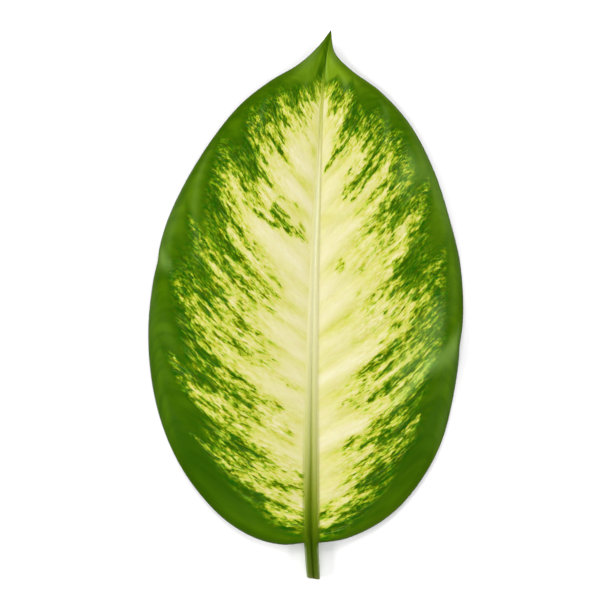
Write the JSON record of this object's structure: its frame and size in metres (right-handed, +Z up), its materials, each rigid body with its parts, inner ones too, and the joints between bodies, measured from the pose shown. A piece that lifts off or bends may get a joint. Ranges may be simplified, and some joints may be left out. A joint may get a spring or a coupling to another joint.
{
  "type": "dieffenbachia leaf",
  "caption": "Cut dieffenbachia leaf lying face up: broad oval blade with a drawn-out tip, arching side veins, a keeled midrib below and a short petiole stub.",
  "frame": {"origin": "on the surface that the leaf lies on, under the middle of its bounding box", "axes": "+Z up, out of the leaf's upper face; +Y along the midrib from the petiole to the tip; +X to the right seen from above with the tip away from the viewer"},
  "size_m": [0.1422, 0.2474, 0.009],
  "materials": {
    "leaf": "satin"
  },
  "bodies": {
    "root": {"leaf": "leaf"}
  },
  "joints": []
}
